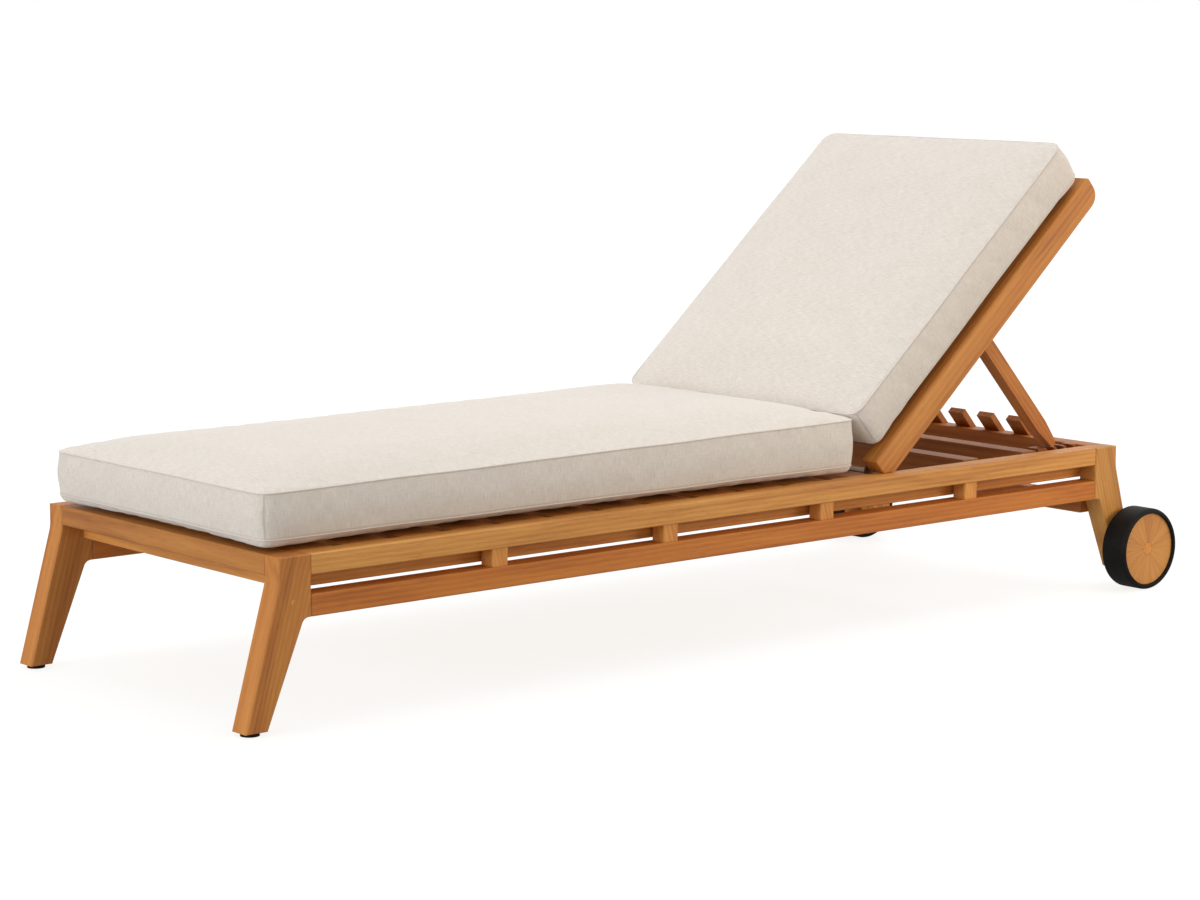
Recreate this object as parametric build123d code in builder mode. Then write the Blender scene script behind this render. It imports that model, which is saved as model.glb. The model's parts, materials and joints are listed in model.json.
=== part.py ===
from build123d import *
from math import asin, cos, degrees, radians, sin, tan
import os

# A garden chaise lounge of teak boards: splayed legs, double side rails, a slatted seat,
# a slatted back on a folding prop frame, two wooden wheels and two loose cushions.
# X runs from the foot end to the head end, Y across, Z up. The origin is on the floor
# under the middle of the whole chaise. Left is -Y, as seen by the person lying on it.

# Frame
frame_length = 1900.0
frame_width = 684.0
frame_height = 270.0
rail_thickness = 40.0
upper_rail_height = 32.0
rail_gap = 30.0
lower_rail_height = 35.0
edge_softening = 1.5
fit_gap = 1.0

# Legs
leg_top_width = 58.0
leg_foot_width = 40.0
leg_splay = 64.0
leg_bend_drop = 38.0
leg_bend_radius = 70.0
leg_knee_step = 13.0
leg_knee_radius = 14.0
rear_leg_clearance = 34.0
glide_radius = 15.0
glide_height = 6.0
plug_radius = 4.5
plug_depth = 8.0
plug_inset = 25.0
plug_below_gap = 9.0

# Spacer blocks between the rails
spacer_count = 4
spacer_length = 32.0
spacer_depth = 30.0
spacer_recess = 4.0
spacer_from_front_leg = 367.0
spacer_from_rear_leg = 334.0

# Seat
slat_count = 12
slat_gap = 19.0
slat_thickness = 18.0
ledger_thickness = 23.0
ledger_height = 40.0
apron_thickness = 40.0
bearer_width = 40.0
bearer_height = 50.0
bearer_drop = 2.0
stretcher_width = 32.0
stretcher_height = 35.0
stretcher_from_end = 22.0
stretcher_drop = 93.0

# Back
hinge_from_head_end = 575.0
recline_angle = 41.5
stile_depth = 50.0
stile_thickness = 36.0
stile_length = 700.0
stile_toe = 30.0
stile_inset = 26.0
stile_head_radius = 26.0
stile_corner_cut = 3.0
rest_gap = 0.3
back_rail_width = 28.0
back_rail_depth = 34.0
bottom_rail_start = 30.0
top_rail_margin = 8.0
back_slat_count = 6
back_slat_gap = 18.5
back_slat_start = 68.0
back_slat_end_margin = 47.5
back_slat_thickness = 12.0
back_bearer_reach = 245.0
rack_bearer_gap = 4.0

# Hinge
bracket_thickness = 3.0
bracket_head_radius = 20.0
bracket_foot_length = 84.0
bracket_foot_drop = 37.0
bracket_foot_height = 20.0
pin_radius = 5.0
pin_head_radius = 9.0
pin_head_height = 5.0
pin_reach = 33.0
running_clearance = 0.05
end_clearance = 1.5
screw_radius = 2.5
screw_head_radius = 4.5
screw_head_height = 2.5
screw_length = 18.0
screw_spread = 32.0
hex_sides = 6

# Prop frame and its racks
prop_from_hinge = 334.0
prop_offset = 2.0
prop_length = 318.0
prop_width = 27.0
prop_thickness = 27.0
prop_nose_radius = 8.0
prop_nose_taper = 46.0
spreader_from_pivot = 66.6
spreader_radius = 10.0
spreader_tenon_radius = 5.0
prop_bolt_radius = 4.0
prop_bolt_head_radius = 10.0
prop_bolt_head_height = 6.0
prop_bolt_reach = 25.0
rack_height = 58.0
rack_stand = 0.6
rack_clearance = 0.6
rack_lead = 40.0
tooth_pitch = 27.0
rack_end_wall = 5.0
notch_width = 18.0
notch_depth = 17.0
notch_lean = 9.0
finger_count = 4
finger_pitch = 77.0
finger_width = 38.0
finger_thickness = 12.0
finger_lean = 41.0
finger_clearance = 1.0

# Wheels
tyre_radius = 77.0
tyre_width = 56.0
tyre_round = 7.0
disc_radius = 67.5
disc_width = 44.0
axle_beyond_frame = 29.0
wheel_gap = 8.0
axle_radius = 6.0
axle_reach = 34.0
collar_radius = 12.0
axle_head_radius = 9.5
axle_head_height = 7.0
hub_bore_radius = 11.5
hub_bore_depth = 14.0
hub_plug_height = 5.0

# Cushions
cushion_side_inset = 30.0
cushion_foot_overhang = 7.0
seat_cushion_to_hinge = 82.0
back_cushion_start = -1.0
back_cushion_end_margin = 8.0
boxing_height = 76.0
under_crown = 17.0
top_crown = 22.0
boxing_bulge = 3.0
cushion_corner_radius = 24.0
panel_inset = 32.0
under_shares = ((0.0, 0.75), (0.2, 0.3), (0.55, 0.08), (1.0, 0.0))
crown_shares = ((0.4, 0.13), (0.78, 0.55), (1.0, 1.6))

os.makedirs("parts", exist_ok=True)

# Places worked out from the sizes
frame_mid_x = (leg_splay - axle_beyond_frame - tyre_radius) / 2
foot_end_x = frame_mid_x - frame_length / 2
head_end_x = frame_mid_x + frame_length / 2
rail_outer_y = frame_width / 2
rail_inner_y = rail_outer_y - rail_thickness
ledger_inner_y = rail_inner_y - ledger_thickness
upper_rail_z = frame_height - upper_rail_height
lower_rail_top_z = upper_rail_z - rail_gap
lower_rail_z = lower_rail_top_z - lower_rail_height
ledger_top_z = frame_height - slat_thickness
hinge_x = head_end_x - hinge_from_head_end
hinge_z = frame_height + stile_depth / 2
stile_outer_y = rail_outer_y - stile_inset
stile_inner_y = stile_outer_y - stile_thickness
cushion_half_width = rail_outer_y - cushion_side_inset
recline = radians(recline_angle)
back_direction = Vector(cos(recline), 0, sin(recline))
back_normal = Vector(-sin(recline), 0, cos(recline))
hinge_point = Vector(hinge_x, 0, hinge_z)
prop_pivot = hinge_point + back_direction * prop_from_hinge - back_normal * prop_offset
rack_top_z = frame_height + rack_stand
nose_z = rack_top_z + rack_clearance + prop_nose_radius
prop_fall = asin((prop_pivot.Z - nose_z) / prop_length)
prop_direction = Vector(cos(prop_fall), 0, -sin(prop_fall))
nose_x = prop_pivot.X + prop_length * cos(prop_fall)
rack_start_x = nose_x - rack_lead
wheel_inner_y = rail_outer_y + wheel_gap
wheel_outer_y = wheel_inner_y + tyre_width
disc_inner_y = wheel_inner_y + (tyre_width - disc_width) / 2
disc_outer_y = disc_inner_y + disc_width
axle_x = head_end_x + axle_beyond_frame
axle_z = tyre_radius
sides = ((-1, "left"), (1, "right"))


def upright_plane(side, inner_y, outer_y):
    """A plane facing -Y on the +Y face of a board that lies between two distances from the middle."""
    start_y = max(side * inner_y, side * outer_y)
    return Plane(origin=(0, start_y, 0), x_dir=(1, 0, 0), z_dir=(0, -1, 0))


def back_plane(start_y):
    """A plane facing -Y, with its origin on the hinge axis and its X along the raised back."""
    return Plane(origin=(hinge_x, start_y, hinge_z), x_dir=back_direction, z_dir=(0, -1, 0))


def prop_plane(start_y):
    """A plane facing -Y, with its origin on the prop's pivot and its X down the prop arm."""
    return Plane(origin=(prop_pivot.X, start_y, prop_pivot.Z), x_dir=prop_direction, z_dir=(0, -1, 0))


def outward_plane(side, x, y, z):
    """A plane at a point, facing outwards on one side."""
    return Plane(origin=(x, side * y, z), x_dir=(1, 0, 0), z_dir=(0, side, 0))


def finish(builder, label):
    builder.part.label = label
    export_step(builder.part, "parts/" + label + ".step")


def soften(builder):
    chamfer(builder.edges(), edge_softening)


def rail_along(label, start_x, end_x, inner_y, outer_y, bottom_z, top_z, side):
    """A straight board that runs along X."""
    with BuildPart() as rail:
        with BuildSketch(Plane.YZ.offset(start_x)):
            with Locations((side * (inner_y + outer_y) / 2, (bottom_z + top_z) / 2)):
                Rectangle(outer_y - inner_y, top_z - bottom_z)
        extrude(amount=end_x - start_x)
        soften(rail)
    finish(rail, label)


def board_across(label, start_x, end_x, half_length, bottom_z, top_z):
    """A straight board that runs along Y, centred on the middle."""
    with BuildPart() as board:
        with BuildSketch(Plane.XZ.offset(-half_length)):
            with Locations(((start_x + end_x) / 2, (bottom_z + top_z) / 2)):
                Rectangle(end_x - start_x, top_z - bottom_z)
        extrude(amount=half_length * 2)
        soften(board)
    finish(board, label)


def back_board(label, start, end, low, high):
    """A straight board across the back, placed by its distances along and square to the stiles."""
    with BuildPart() as board:
        with BuildSketch(back_plane(stile_inner_y)):
            with Locations(((start + end) / 2, (low + high) / 2)):
                Rectangle(end - start, high - low)
        extrude(amount=stile_inner_y * 2)
        soften(board)
    finish(board, label)


# Legs: straight at the rails, then a soft bend outside, a hollow knee inside and a tapered splay to the foot
leg_fall = frame_height - leg_bend_drop - glide_height
splay_rate = leg_splay / leg_fall
knee_reach = leg_top_width - leg_knee_step
inner_rate = (knee_reach - (leg_foot_width - leg_splay)) / (lower_rail_z - glide_height)

for end_name, end_x, inward, leg_bottom_z in (
    ("front", foot_end_x, 1, glide_height),
    ("rear", head_end_x, -1, rear_leg_clearance),
):
    outer_bottom = -splay_rate * (frame_height - leg_bend_drop - leg_bottom_z)
    inner_bottom = knee_reach - inner_rate * (lower_rail_z - leg_bottom_z)
    for side, side_name in sides:
        with BuildPart() as leg:
            with BuildSketch(upright_plane(side, rail_inner_y, rail_outer_y)) as outline:
                with BuildLine():
                    Polyline(
                        (end_x, frame_height),
                        (end_x, frame_height - leg_bend_drop),
                        (end_x + inward * outer_bottom, leg_bottom_z),
                        (end_x + inward * inner_bottom, leg_bottom_z),
                        (end_x + inward * knee_reach, lower_rail_z),
                        (end_x + inward * leg_top_width, lower_rail_z),
                        (end_x + inward * leg_top_width, frame_height),
                        close=True,
                    )
                make_face()
                bend = outline.vertices().sort_by_distance((end_x, frame_height - leg_bend_drop))[0]
                fillet(bend, leg_bend_radius)
                knee = outline.vertices().sort_by_distance((end_x + inward * knee_reach, lower_rail_z))[0]
                fillet(knee, leg_knee_radius)
            extrude(amount=rail_thickness)
            chamfer(leg.faces().sort_by(Axis.Y)[0].edges(), edge_softening)
            chamfer(leg.faces().sort_by(Axis.Y)[-1].edges(), edge_softening)
            with Locations(outward_plane(side, end_x + inward * plug_inset, rail_outer_y,
                                         lower_rail_top_z - plug_below_gap)):
                Hole(plug_radius, plug_depth)
            if end_name == "rear":
                with Locations(outward_plane(side, axle_x, rail_outer_y, axle_z)):
                    Hole(axle_radius, axle_reach)
        finish(leg, "leg_" + end_name + "_" + side_name)

with BuildPart() as screw_plugs:
    for end_x, inward in ((foot_end_x, 1), (head_end_x, -1)):
        for side, side_name in sides:
            with BuildSketch(outward_plane(side, end_x + inward * plug_inset, rail_outer_y,
                                           lower_rail_top_z - plug_below_gap)):
                Circle(plug_radius)
            extrude(amount=-plug_depth)
finish(screw_plugs, "screw_plugs")

front_foot_mid = foot_end_x - leg_splay + leg_foot_width / 2
with BuildPart() as foot_glides:
    with BuildSketch():
        with Locations((front_foot_mid, 0)):
            with GridLocations(0, rail_inner_y + rail_outer_y, 1, 2):
                Circle(glide_radius)
    extrude(amount=glide_height)
finish(foot_glides, "foot_glides")

# Side rails, aprons and ledgers
rail_start_x = foot_end_x + leg_top_width
rail_end_x = head_end_x - leg_top_width
apron_inner_foot_x = foot_end_x + apron_thickness
apron_inner_head_x = head_end_x - apron_thickness
ledger_z = ledger_top_z - ledger_height
ledger_start_x = apron_inner_foot_x + ledger_thickness

for side, side_name in sides:
    rail_along("upper_rail_" + side_name, rail_start_x, rail_end_x,
               rail_inner_y, rail_outer_y, upper_rail_z, frame_height, side)
    rail_along("lower_rail_" + side_name, rail_start_x, rail_end_x,
               rail_inner_y, rail_outer_y, lower_rail_z, lower_rail_top_z, side)

board_across("foot_apron", foot_end_x, apron_inner_foot_x, rail_inner_y, upper_rail_z, frame_height)
board_across("head_apron", apron_inner_head_x, head_end_x, rail_inner_y, upper_rail_z, frame_height)
board_across("foot_ledger", apron_inner_foot_x, ledger_start_x, rail_inner_y, ledger_z, ledger_top_z)

stretcher_end_x = head_end_x - stretcher_from_end
stretcher_top_z = frame_height - stretcher_drop
board_across("head_stretcher", stretcher_end_x - stretcher_width, stretcher_end_x, rail_inner_y,
             stretcher_top_z - stretcher_height, stretcher_top_z)

spacer_outer_y = rail_outer_y - spacer_recess
first_spacer_x = rail_start_x + spacer_from_front_leg
spacer_pitch = (rail_end_x - spacer_from_rear_leg - first_spacer_x) / (spacer_count - 1)
with BuildPart() as spacer_blocks:
    for side, side_name in sides:
        for index in range(spacer_count):
            spacer_x = first_spacer_x + index * spacer_pitch
            with BuildSketch(Plane.XY.offset(lower_rail_top_z)):
                with Locations((spacer_x, side * (spacer_outer_y - spacer_depth / 2))):
                    Rectangle(spacer_length, spacer_depth)
            extrude(amount=rail_gap)
    chamfer(spacer_blocks.edges().filter_by(Axis.Z), edge_softening)
finish(spacer_blocks, "spacer_blocks")

# Seat slats on the ledgers, level with the rails
slat_half_length = rail_inner_y - fit_gap
first_slat_x = apron_inner_foot_x + fit_gap
slat_end_x = hinge_x - bearer_width / 2 - slat_gap
slat_pitch = (slat_end_x + slat_gap - first_slat_x) / slat_count
slat_width = slat_pitch - slat_gap
for index in range(slat_count):
    slat_x = first_slat_x + index * slat_pitch
    board_across("seat_slat_" + str(index + 1).zfill(2), slat_x, slat_x + slat_width,
                 slat_half_length, ledger_top_z, frame_height)

# Side ledgers, drilled for the screws of the hinge brackets
bracket_foot_top = bracket_foot_drop + stile_depth / 2
bracket_foot_bottom = bracket_foot_top + bracket_foot_height
screw_z = hinge_z - bracket_foot_top - bracket_foot_height / 2
screw_places = (hinge_x - screw_spread, hinge_x + screw_spread)
for side, side_name in sides:
    with BuildPart() as ledger:
        with BuildSketch(Plane.YZ.offset(ledger_start_x)):
            with Locations((side * (ledger_inner_y + rail_inner_y) / 2, (ledger_z + ledger_top_z) / 2)):
                Rectangle(ledger_thickness, ledger_height)
        extrude(amount=apron_inner_head_x - ledger_start_x)
        soften(ledger)
        for screw_x in screw_places:
            with Locations(outward_plane(-side, screw_x, -ledger_inner_y, screw_z)):
                Hole(screw_radius, screw_length)
    finish(ledger, "side_ledger_" + side_name)

# Bearers across the frame: one between the hinge brackets, two under the back
bracket_inner_y = ledger_inner_y - bracket_thickness
bearer_top_z = frame_height - bearer_drop
board_across("hinge_bearer", hinge_x - bearer_width / 2, hinge_x + bearer_width / 2, bracket_inner_y,
             bearer_top_z - bearer_height, bearer_top_z)
with BuildPart() as back_bearers:
    for bearer_x in (hinge_x + back_bearer_reach, rack_start_x - rack_bearer_gap - bearer_width / 2):
        with BuildSketch(Plane.XZ.offset(-ledger_inner_y)):
            with Locations((bearer_x, bearer_top_z - bearer_height / 2)):
                Rectangle(bearer_width, bearer_height)
        extrude(amount=ledger_inner_y * 2)
    soften(back_bearers)
finish(back_bearers, "back_bearers")

# Hinge brackets: steel plates on the ledgers, with a round ear around each pin
with BuildPart() as hinge_brackets:
    for side, side_name in sides:
        face_plane = upright_plane(side, bracket_inner_y, ledger_inner_y)
        with BuildSketch(face_plane):
            with Locations((hinge_x, hinge_z)):
                Circle(bracket_head_radius)
            with Locations((hinge_x, hinge_z - (bracket_foot_top + bracket_foot_bottom) / 2)):
                Rectangle(bracket_foot_length, bracket_foot_height)
            make_hull()
            with Locations((hinge_x, hinge_z)):
                Circle(pin_radius, mode=Mode.SUBTRACT)
            for screw_x in screw_places:
                with Locations((screw_x, screw_z)):
                    Circle(screw_radius, mode=Mode.SUBTRACT)
        extrude(amount=bracket_thickness)
finish(hinge_brackets, "hinge_brackets")

with BuildPart() as hinge_pins:
    for side, side_name in sides:
        with BuildSketch(outward_plane(side, hinge_x, bracket_inner_y, hinge_z)):
            Circle(pin_radius)
        extrude(amount=bracket_thickness + pin_reach)
        with BuildSketch(outward_plane(side, hinge_x, bracket_inner_y, hinge_z)):
            Circle(pin_head_radius)
        extrude(amount=-pin_head_height)
finish(hinge_pins, "hinge_pins")

with BuildPart() as hinge_screws:
    for side, side_name in sides:
        for screw_x in screw_places:
            with BuildSketch(outward_plane(side, screw_x, bracket_inner_y, screw_z)):
                Circle(screw_radius)
            extrude(amount=bracket_thickness + screw_length)
            with BuildSketch(outward_plane(side, screw_x, bracket_inner_y, screw_z)):
                RegularPolygon(screw_head_radius, hex_sides)
            extrude(amount=-screw_head_height)
finish(hinge_screws, "hinge_screws")

# Racks: notched boards on the ledgers, whose leaning teeth hold the prop's feet
rack_end_x = apron_inner_head_x
notch_room = rack_end_x - rack_end_wall - notch_width / 2 - nose_x
notch_count = max(int(notch_room / tooth_pitch), 0) + 1
for side, side_name in sides:
    with BuildPart() as rack:
        with BuildSketch(upright_plane(side, ledger_inner_y - prop_thickness, ledger_inner_y)):
            with BuildLine():
                Polyline(
                    (rack_start_x, rack_top_z - rack_height),
                    (rack_end_x, rack_top_z - rack_height),
                    (rack_end_x, rack_top_z),
                    (rack_start_x, rack_top_z),
                    close=True,
                )
            make_face()
            for index in range(notch_count):
                seat_x = nose_x + index * tooth_pitch
                seat_z = rack_top_z - notch_depth + notch_width / 2
                with BuildLine():
                    left = Line((seat_x - notch_width / 2 - notch_lean, rack_top_z),
                                (seat_x - notch_width / 2, seat_z))
                    seat = ThreePointArc(left @ 1, (seat_x, rack_top_z - notch_depth),
                                         (seat_x + notch_width / 2, seat_z))
                    right = Line(seat @ 1, (seat_x + notch_width / 2 - notch_lean, rack_top_z))
                    Line(right @ 1, left @ 0)
                make_face(mode=Mode.SUBTRACT)
        extrude(amount=prop_thickness)
    finish(rack, "prop_rack_" + side_name)

# Fingers on the head apron, leaning to the foot, just under the slats of the lowered back
finger_rise = stile_depth - back_slat_thickness - finger_clearance
finger_shift = finger_rise * tan(radians(finger_lean))
finger_run = finger_thickness / cos(radians(finger_lean))
tip_drop = finger_thickness * sin(radians(finger_lean))
tip_run = finger_thickness * cos(radians(finger_lean))
finger_foot_x = head_end_x - edge_softening
with BuildPart() as head_fingers:
    for index in range(finger_count):
        finger_y = (index - (finger_count - 1) / 2) * finger_pitch
        with BuildSketch(Plane(origin=(finger_foot_x, finger_y + finger_width / 2, frame_height),
                               x_dir=(1, 0, 0), z_dir=(0, -1, 0))):
            with BuildLine():
                Polyline(
                    (0, 0),
                    (-finger_shift, finger_rise),
                    (-finger_shift - tip_run, finger_rise - tip_drop),
                    (-finger_run, 0),
                    close=True,
                )
            make_face()
        extrude(amount=finger_width)
finish(head_fingers, "head_fingers")

# Back stiles: the toe is cut flat to stand on the rail, and rounded about the pin to the back face
heel_radius = stile_depth / 2 - rest_gap
toe_low = (-heel_radius + stile_toe * sin(recline)) / cos(recline)
for side, side_name in sides:
    with BuildPart() as stile:
        with BuildSketch(back_plane(max(side * stile_inner_y, side * stile_outer_y))) as outline:
            with BuildLine():
                heel = CenterArc((0, 0), heel_radius, -90, -recline_angle)
                Polyline(
                    heel @ 1,
                    (-stile_toe, toe_low),
                    (-stile_toe, stile_depth / 2),
                    (stile_length, stile_depth / 2),
                    (stile_length, -heel_radius),
                    heel @ 0,
                )
            make_face()
            back_corner = outline.vertices().sort_by_distance((stile_length, -heel_radius))[0]
            fillet(back_corner, stile_head_radius)
            front_corner = outline.vertices().sort_by_distance((stile_length, stile_depth / 2))[0]
            toe_corner = outline.vertices().sort_by_distance((-stile_toe, stile_depth / 2))[0]
            chamfer([front_corner, toe_corner], stile_corner_cut)
        extrude(amount=stile_thickness)
        chamfer(stile.faces().sort_by(Axis.Y)[0].edges(), edge_softening)
        chamfer(stile.faces().sort_by(Axis.Y)[-1].edges(), edge_softening)
        with Locations(Plane(origin=(hinge_x, side * stile_inner_y, hinge_z), x_dir=(1, 0, 0),
                             z_dir=(0, -side, 0))):
            Hole(pin_radius + running_clearance,
                 pin_reach - (stile_inner_y - ledger_inner_y) + end_clearance)
        with Locations(Plane(origin=(prop_pivot.X, side * stile_inner_y, prop_pivot.Z), x_dir=(1, 0, 0),
                             z_dir=(0, -side, 0))):
            Hole(prop_bolt_radius, prop_bolt_reach)
    finish(stile, "back_stile_" + side_name)

back_slat_top = stile_depth / 2
back_slat_low = back_slat_top - back_slat_thickness
back_board("back_bottom_rail", bottom_rail_start, bottom_rail_start + back_rail_width,
           back_slat_low - back_rail_depth + edge_softening, back_slat_low)
top_rail_end = stile_length - top_rail_margin
back_board("back_top_rail", top_rail_end - back_rail_width, top_rail_end,
           back_slat_low - back_rail_depth + edge_softening, back_slat_low)
back_slat_end = stile_length - back_slat_end_margin
back_slat_pitch = (back_slat_end + back_slat_gap - back_slat_start) / back_slat_count
back_slat_width = back_slat_pitch - back_slat_gap
for index in range(back_slat_count):
    slat_start = back_slat_start + index * back_slat_pitch
    back_board("back_slat_" + str(index + 1), slat_start, slat_start + back_slat_width,
               back_slat_low, back_slat_top)

# Prop frame: two arms with tapered noses, joined near the top by a round spreader
arm_outer_y = ledger_inner_y
arm_inner_y = arm_outer_y - prop_thickness
for side, side_name in sides:
    with BuildPart() as arm:
        with BuildSketch(prop_plane(max(side * arm_inner_y, side * arm_outer_y))):
            with BuildLine():
                crown = CenterArc((0, 0), prop_width / 2, 90, 180)
                nose = CenterArc((prop_length, 0), prop_nose_radius, -90, 180)
                Polyline(crown @ 1, (prop_length - prop_nose_taper, -prop_width / 2), nose @ 0)
                Polyline(nose @ 1, (prop_length - prop_nose_taper, prop_width / 2), crown @ 0)
            make_face()
            Circle(prop_bolt_radius + running_clearance, mode=Mode.SUBTRACT)
            with Locations((spreader_from_pivot, 0)):
                Circle(spreader_tenon_radius, mode=Mode.SUBTRACT)
        extrude(amount=prop_thickness)
    finish(arm, "prop_arm_" + side_name)

spreader_point = prop_pivot + prop_direction * spreader_from_pivot
with BuildPart() as prop_spreader:
    with BuildSketch(prop_plane(arm_outer_y)):
        with Locations((spreader_from_pivot, 0)):
            Circle(spreader_tenon_radius)
    extrude(amount=arm_outer_y * 2)
    with BuildSketch(prop_plane(arm_inner_y)):
        with Locations((spreader_from_pivot, 0)):
            Circle(spreader_radius)
    extrude(amount=arm_inner_y * 2)
finish(prop_spreader, "prop_spreader")

with BuildPart() as prop_bolts:
    for side, side_name in sides:
        head_plane = outward_plane(side, prop_pivot.X, arm_inner_y - running_clearance, prop_pivot.Z)
        with BuildSketch(head_plane):
            Circle(prop_bolt_radius)
        extrude(amount=prop_thickness + fit_gap + prop_bolt_reach)
        with BuildSketch(head_plane):
            RegularPolygon(prop_bolt_head_radius, hex_sides)
        extrude(amount=-prop_bolt_head_height)
finish(prop_bolts, "prop_bolts")

# Wheels
axle_head_inner_y = disc_outer_y - hub_bore_depth + running_clearance
with BuildPart() as axle_bolts:
    for side, side_name in sides:
        with BuildSketch(outward_plane(side, axle_x, rail_outer_y, axle_z)):
            Circle(axle_radius)
        extrude(amount=-axle_reach)
        with BuildSketch(outward_plane(side, axle_x, rail_outer_y, axle_z)):
            Circle(collar_radius)
        extrude(amount=disc_inner_y - rail_outer_y - running_clearance)
        with BuildSketch(outward_plane(side, axle_x, rail_outer_y, axle_z)):
            Circle(axle_radius)
        extrude(amount=axle_head_inner_y - rail_outer_y)
        with BuildSketch(outward_plane(side, axle_x, axle_head_inner_y, axle_z)):
            RegularPolygon(axle_head_radius, hex_sides)
        extrude(amount=axle_head_height)
finish(axle_bolts, "axle_bolts")

# The tread is cut back at both rims in flat steps
rim_steps = 1
rim_points = []
for rim in (-1, 1):
    for step in range(rim_steps + 1):
        turn = radians(90 * (step if rim > 0 else rim_steps - step) / rim_steps)
        rim_points.append((tyre_radius - tyre_round * (1 - cos(turn)),
                           rim * (tyre_width / 2 - tyre_round * (1 - sin(turn)))))

for side, side_name in sides:
    with BuildPart() as disc:
        with BuildSketch(outward_plane(side, axle_x, disc_inner_y, axle_z)):
            Circle(disc_radius)
            Circle(axle_radius + running_clearance, mode=Mode.SUBTRACT)
        extrude(amount=disc_width)
        with BuildSketch(outward_plane(side, axle_x, disc_outer_y, axle_z)):
            Circle(hub_bore_radius)
        extrude(amount=-hub_bore_depth, mode=Mode.SUBTRACT)
    finish(disc, "wheel_disc_" + side_name)

    with BuildPart() as tyre:
        with BuildSketch(Plane.XY):
            with BuildLine():
                Polyline(
                    *rim_points,
                    (disc_radius, tyre_width / 2),
                    (disc_radius, -tyre_width / 2),
                    close=True,
                )
            make_face()
        revolve(axis=Axis.Y)
    tyre_centre = Location((axle_x, side * (wheel_inner_y + wheel_outer_y) / 2, axle_z))
    tyre.part = tyre.part.moved(tyre_centre)
    finish(tyre, "wheel_tyre_" + side_name)

    with BuildPart() as plug:
        with BuildSketch(outward_plane(side, axle_x, disc_outer_y - hub_plug_height, axle_z)):
            Circle(hub_bore_radius)
        extrude(amount=hub_plug_height)
    finish(plug, "hub_plug_" + side_name)


def boxed_cushion(label, plane, length):
    """A boxed cushion that rests on a plane, from the plane's origin along its X."""
    seam_high = under_crown + boxing_height
    sections = []
    for height_share, inset_share in under_shares:
        sections.append((under_crown * height_share, panel_inset * inset_share))
    sections.append((under_crown + boxing_height / 2, -boxing_bulge))
    sections.append((seam_high, 0))
    for height_share, inset_share in crown_shares:
        sections.append((seam_high + top_crown * height_share, panel_inset * inset_share))
    with BuildPart() as cushion:
        for height, inset in sections:
            with BuildSketch(plane.offset(height)):
                with Locations((length / 2, 0)):
                    RectangleRounded(length - inset * 2, (cushion_half_width - inset) * 2,
                                     cushion_corner_radius)
        loft(ruled=True)
    finish(cushion, label)


seat_cushion_length = hinge_x - seat_cushion_to_hinge - (foot_end_x - cushion_foot_overhang)
seat_plane = Plane(origin=(foot_end_x - cushion_foot_overhang, 0, frame_height + rest_gap),
                   x_dir=(1, 0, 0), z_dir=(0, 0, 1))
boxed_cushion("seat_cushion", seat_plane, seat_cushion_length)

back_cushion_length = stile_length - back_cushion_end_margin - back_cushion_start
cushion_origin = hinge_point + back_direction * back_cushion_start + back_normal * (
    stile_depth / 2 + rest_gap)
boxed_cushion("back_cushion", Plane(origin=cushion_origin, x_dir=back_direction, z_dir=back_normal),
              back_cushion_length)

print("prop falls", round(degrees(prop_fall), 3), "degrees; fold ratio",
      round(1 + prop_fall / recline, 5))
print("hinge", hinge_point, "prop pivot", prop_pivot, "nose", round(nose_x, 3), round(nose_z, 3))
print("axle", axle_x, axle_z, "notches", notch_count)
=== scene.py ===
import bpy
import json
import math
import numpy as np
from mathutils import Matrix, Vector


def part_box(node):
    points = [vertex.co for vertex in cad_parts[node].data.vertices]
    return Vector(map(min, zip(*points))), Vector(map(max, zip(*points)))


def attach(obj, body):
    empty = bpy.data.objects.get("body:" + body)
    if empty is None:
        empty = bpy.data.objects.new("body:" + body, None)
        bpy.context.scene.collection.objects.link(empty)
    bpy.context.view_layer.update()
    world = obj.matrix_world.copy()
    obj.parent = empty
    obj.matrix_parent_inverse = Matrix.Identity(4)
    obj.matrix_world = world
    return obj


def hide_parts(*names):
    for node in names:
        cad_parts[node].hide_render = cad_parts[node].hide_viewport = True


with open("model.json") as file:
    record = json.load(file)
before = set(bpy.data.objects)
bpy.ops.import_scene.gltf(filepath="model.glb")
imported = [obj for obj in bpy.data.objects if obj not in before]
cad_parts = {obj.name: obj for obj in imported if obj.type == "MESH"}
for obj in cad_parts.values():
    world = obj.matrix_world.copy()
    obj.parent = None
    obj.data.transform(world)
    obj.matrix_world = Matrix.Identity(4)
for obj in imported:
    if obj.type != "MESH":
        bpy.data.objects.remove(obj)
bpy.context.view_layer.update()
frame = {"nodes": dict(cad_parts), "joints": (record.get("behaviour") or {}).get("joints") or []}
nodes = frame["nodes"]
print("frame loaded:", len(nodes), "nodes")

mm = 0.001
sideNames = ("left", "right")  # left is -Y, as for the person lying on it
joints = {joint["name"]: joint for joint in frame["joints"]}
hinge = Vector(joints["backrest_recline"]["pos_m"])
axle = Vector(joints["wheel_left_spin"]["pos_m"])
recline = math.radians(joints["backrest_recline"]["range_deg"][1])
propFall = math.radians(joints["prop_swing"]["range_deg"][1]) - recline
backAlong = Vector((math.cos(recline), 0, math.sin(recline)))
backNormal = Vector((-math.sin(recline), 0, math.cos(recline)))


# camera, from a fit to the photo's corner points

cameraFit = {"place": (-3.554, -4.199, 1.090), "tilt": 81.919, "turn": -39.782, "lens": 93.43, "sensor": 36}

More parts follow.
